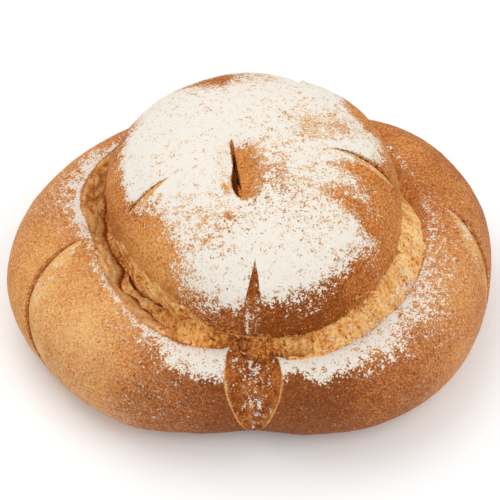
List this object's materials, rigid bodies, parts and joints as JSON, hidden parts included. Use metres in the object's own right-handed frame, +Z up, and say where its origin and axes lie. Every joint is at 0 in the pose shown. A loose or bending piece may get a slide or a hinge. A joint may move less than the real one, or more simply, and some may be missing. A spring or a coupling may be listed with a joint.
{
  "type": "cottage-style cob loaf",
  "caption": "Round farmhouse loaf with a smaller round pressed on a wide base, a finger slit in its crown, a torn groove at the join, leaf-shaped scores and dusted flour.",
  "frame": {"origin": "middle of the flat underside, at the bottom centre of the bounding box", "axes": "+X to the loaf's right along its widest spread, +Y to its back, +Z up; the large front score faces -Y"},
  "size_m": [0.2372, 0.1896, 0.1091],
  "materials": {
    "crust": "matt baked bread crust, dusted with flour"
  },
  "bodies": {
    "root": {"loaf": "crust"}
  },
  "joints": []
}
